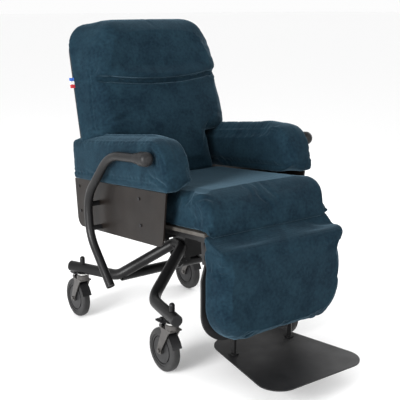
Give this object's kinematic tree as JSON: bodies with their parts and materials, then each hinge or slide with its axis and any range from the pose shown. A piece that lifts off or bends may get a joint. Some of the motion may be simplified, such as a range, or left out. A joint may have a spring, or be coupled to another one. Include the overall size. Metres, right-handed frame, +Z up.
{
  "type": "patient recliner chair",
  "caption": "Upholstered reclining patient chair on four swivel castors, with tilting seat unit, padded arms, curved side grab handles, lifting legrest and footplate.",
  "frame": {"origin": "on the floor under the middle of the chair's length and width", "axes": "-Y to the front (the footplate), +X to the sitter's left, +Z up"},
  "size_m": [0.716, 1.158, 1.1419],
  "materials": {
    "black_steel": "matt black powder coat",
    "black_plastic": "satin moulded plastic",
    "zinc_steel": "bright zinc plate",
    "board": "painted plywood",
    "blue_velvet": "short-pile velvet, dark petrol blue",
    "dark_panel": "satin laminate",
    "footplate_coat": "satin anthracite powder coat",
    "caster_zinc": "grey zinc",
    "grey_tyre": "grey non-marking tread",
    "grey_core": "moulded grey centre"
  },
  "bodies": {
    "base": {"side_tube_right": "black_steel", "side_tube_left": "black_steel", "tube_end_caps": "black_plastic", "pivot_column": "black_steel", "rear_cross_tube": "black_steel", "caster_bolts": "black_steel", "stem_washers": "zinc_steel"},
    "seat_unit": {"seat_rails": "black_steel", "seat_cross_tubes": "black_steel", "tilt_bridge": "black_steel", "tilt_pin": "zinc_steel", "seat_board": "board", "seat_cushion": "blue_velvet", "arm_uprights": "black_steel", "side_panel_left": "dark_panel", "side_panel_right": "dark_panel", "panel_screws": "zinc_steel", "arm_pad_left": "blue_velvet", "arm_pad_right": "blue_velvet", "grab_handle_right": "black_steel", "grab_handle_left": "black_steel", "handle_knobs": "black_plastic", "handle_plugs": "black_plastic", "handle_standoffs": "black_steel", "legrest_brackets": "zinc_steel", "back_hinge_lugs": "black_steel", "back_hinge_pins": "zinc_steel"},
    "back": {"back_frame": "black_steel", "back_shell": "dark_panel", "back_cushion": "blue_velvet", "head_pillow": "blue_velvet", "push_bar": "black_steel", "shell_brackets": "zinc_steel"},
    "tilt_lever": {"tilt_lever": "black_plastic"},
    "recline_lever": {"recline_lever": "black_plastic"},
    "legrest": {"legrest_frame": "black_steel", "legrest_board": "board", "legrest_pad": "blue_velvet"},
    "footplate": {"footplate": "footplate_coat", "footplate_stems": "black_steel"},
    "tilt_spring_cylinder": {"tilt_spring_cylinder": "black_steel"},
    "tilt_spring_rod": {"tilt_spring_rod": "zinc_steel"},
    "recline_spring_cylinder": {"recline_spring_cylinder": "black_steel"},
    "recline_spring_rod": {"recline_spring_rod": "zinc_steel"},
    "caster_front_right": {"caster_fork_front_right": "caster_zinc"},
    "wheel_front_right": {"tyre_front_right": "grey_tyre", "wheel_core_front_right": "grey_core"},
    "brake_front_right": {"brake_pedal_front_right": "black_plastic"},
    "caster_front_left": {"caster_fork_front_left": "caster_zinc"},
    "wheel_front_left": {"tyre_front_left": "grey_tyre", "wheel_core_front_left": "grey_core"},
    "brake_front_left": {"brake_pedal_front_left": "black_plastic"},
    "caster_rear_right": {"caster_fork_rear_right": "caster_zinc"},
    "wheel_rear_right": {"tyre_rear_right": "grey_tyre", "wheel_core_rear_right": "grey_core"},
    "brake_rear_right": {"brake_pedal_rear_right": "black_plastic"},
    "caster_rear_left": {"caster_fork_rear_left": "caster_zinc"},
    "wheel_rear_left": {"tyre_rear_left": "grey_tyre", "wheel_core_rear_left": "grey_core"},
    "brake_rear_left": {"brake_pedal_rear_left": "black_plastic"}
  },
  "joints": [
    {"name": "seat_tilt", "type": "hinge", "parent": "base", "child": "seat_unit", "pos_m": [0, 0.126, 0.4], "axis": [-1, 0, 0], "range_deg": [-5, 20]},
    {"name": "back_recline", "type": "hinge", "parent": "seat_unit", "child": "back", "pos_m": [0, 0.31071, 0.60912], "axis": [-1, 0, 0], "range_deg": [0, 35]},
    {"name": "legrest_lift", "type": "hinge", "parent": "seat_unit", "child": "legrest", "pos_m": [0, -0.296, 0.492], "axis": [-1, 0, 0], "range_deg": [0, 80]},
    {"name": "footplate_height", "type": "slide", "parent": "legrest", "child": "footplate", "axis": [0, 0, 1], "range_m": [-0.05, 0.04]},
    {"name": "tilt_lever_pull", "type": "hinge", "parent": "back", "child": "tilt_lever", "pos_m": [-0.07, 0.48051, 0.95342], "axis": [1, 0, 0], "range_deg": [0, 14], "stiffness_Nm_per_rad": 0.8},
    {"name": "recline_lever_pull", "type": "hinge", "parent": "back", "child": "recline_lever", "pos_m": [0.07, 0.48051, 0.95342], "axis": [1, 0, 0], "range_deg": [0, 14], "stiffness_Nm_per_rad": 0.8},
    {"name": "tilt_spring_cylinder_swing", "type": "hinge", "parent": "base", "child": "tilt_spring_cylinder", "pos_m": [0, 0.204, 0.25], "axis": [-1, 0, 0], "range_deg": [-5.07, 17.26]},
    {"name": "tilt_spring_rod_slide", "type": "slide", "parent": "tilt_spring_cylinder", "child": "tilt_spring_rod", "axis": [0, 0.7123, 0.7019], "range_m": [-0.0597, 0.0164]},
    {"name": "recline_spring_cylinder_swing", "type": "hinge", "parent": "seat_unit", "child": "recline_spring_cylinder", "pos_m": [0, 0.42875, 0.39454], "axis": [-1, 0, 0], "range_deg": [-1, 15.75]},
    {"name": "recline_spring_rod_slide", "type": "slide", "parent": "recline_spring_cylinder", "child": "recline_spring_rod", "axis": [0, 0.016, 0.9999], "range_m": [-0.0886, 0.002]},
    {"name": "caster_swivel_front_right", "type": "hinge", "parent": "base", "child": "caster_front_right", "pos_m": [-0.262, -0.146, 0.17], "axis": [0, 0, 1], "continuous": true},
    {"name": "wheel_roll_front_right", "type": "hinge", "parent": "caster_front_right", "child": "wheel_front_right", "pos_m": [-0.262, -0.1, 0.075], "axis": [1, 0, 0], "continuous": true},
    {"name": "brake_press_front_right", "type": "hinge", "parent": "caster_front_right", "child": "brake_front_right", "pos_m": [-0.262, -0.109, 0.1675], "axis": [-1, 0, 0], "range_deg": [0, 12]},
    {"name": "caster_swivel_front_left", "type": "hinge", "parent": "base", "child": "caster_front_left", "pos_m": [0.262, -0.146, 0.17], "axis": [0, 0, 1], "continuous": true},
    {"name": "wheel_roll_front_left", "type": "hinge", "parent": "caster_front_left", "child": "wheel_front_left", "pos_m": [0.262, -0.1, 0.075], "axis": [1, 0, 0], "continuous": true},
    {"name": "brake_press_front_left", "type": "hinge", "parent": "caster_front_left", "child": "brake_front_left", "pos_m": [0.262, -0.109, 0.1675], "axis": [-1, 0, 0], "range_deg": [0, 12]},
    {"name": "caster_swivel_rear_right", "type": "hinge", "parent": "base", "child": "caster_rear_right", "pos_m": [-0.262, 0.458, 0.17], "axis": [0, 0, 1], "continuous": true},
    {"name": "wheel_roll_rear_right", "type": "hinge", "parent": "caster_rear_right", "child": "wheel_rear_right", "pos_m": [-0.262, 0.504, 0.075], "axis": [1, 0, 0], "continuous": true},
    {"name": "brake_press_rear_right", "type": "hinge", "parent": "caster_rear_right", "child": "brake_rear_right", "pos_m": [-0.262, 0.495, 0.1675], "axis": [-1, 0, 0], "range_deg": [0, 12]},
    {"name": "caster_swivel_rear_left", "type": "hinge", "parent": "base", "child": "caster_rear_left", "pos_m": [0.262, 0.458, 0.17], "axis": [0, 0, 1], "continuous": true},
    {"name": "wheel_roll_rear_left", "type": "hinge", "parent": "caster_rear_left", "child": "wheel_rear_left", "pos_m": [0.262, 0.504, 0.075], "axis": [1, 0, 0], "continuous": true},
    {"name": "brake_press_rear_left", "type": "hinge", "parent": "caster_rear_left", "child": "brake_rear_left", "pos_m": [0.262, 0.495, 0.1675], "axis": [-1, 0, 0], "range_deg": [0, 12]}
  ],
  "couplings": [
    {"joint": "tilt_spring_cylinder_swing", "follows": "seat_tilt", "ratio": 0.81316},
    {"joint": "tilt_spring_rod_slide", "follows": "seat_tilt", "m_per_rad": -0.16542},
    {"joint": "recline_spring_cylinder_swing", "follows": "back_recline", "ratio": 0.42146},
    {"joint": "recline_spring_rod_slide", "follows": "back_recline", "m_per_rad": -0.14179}
  ]
}
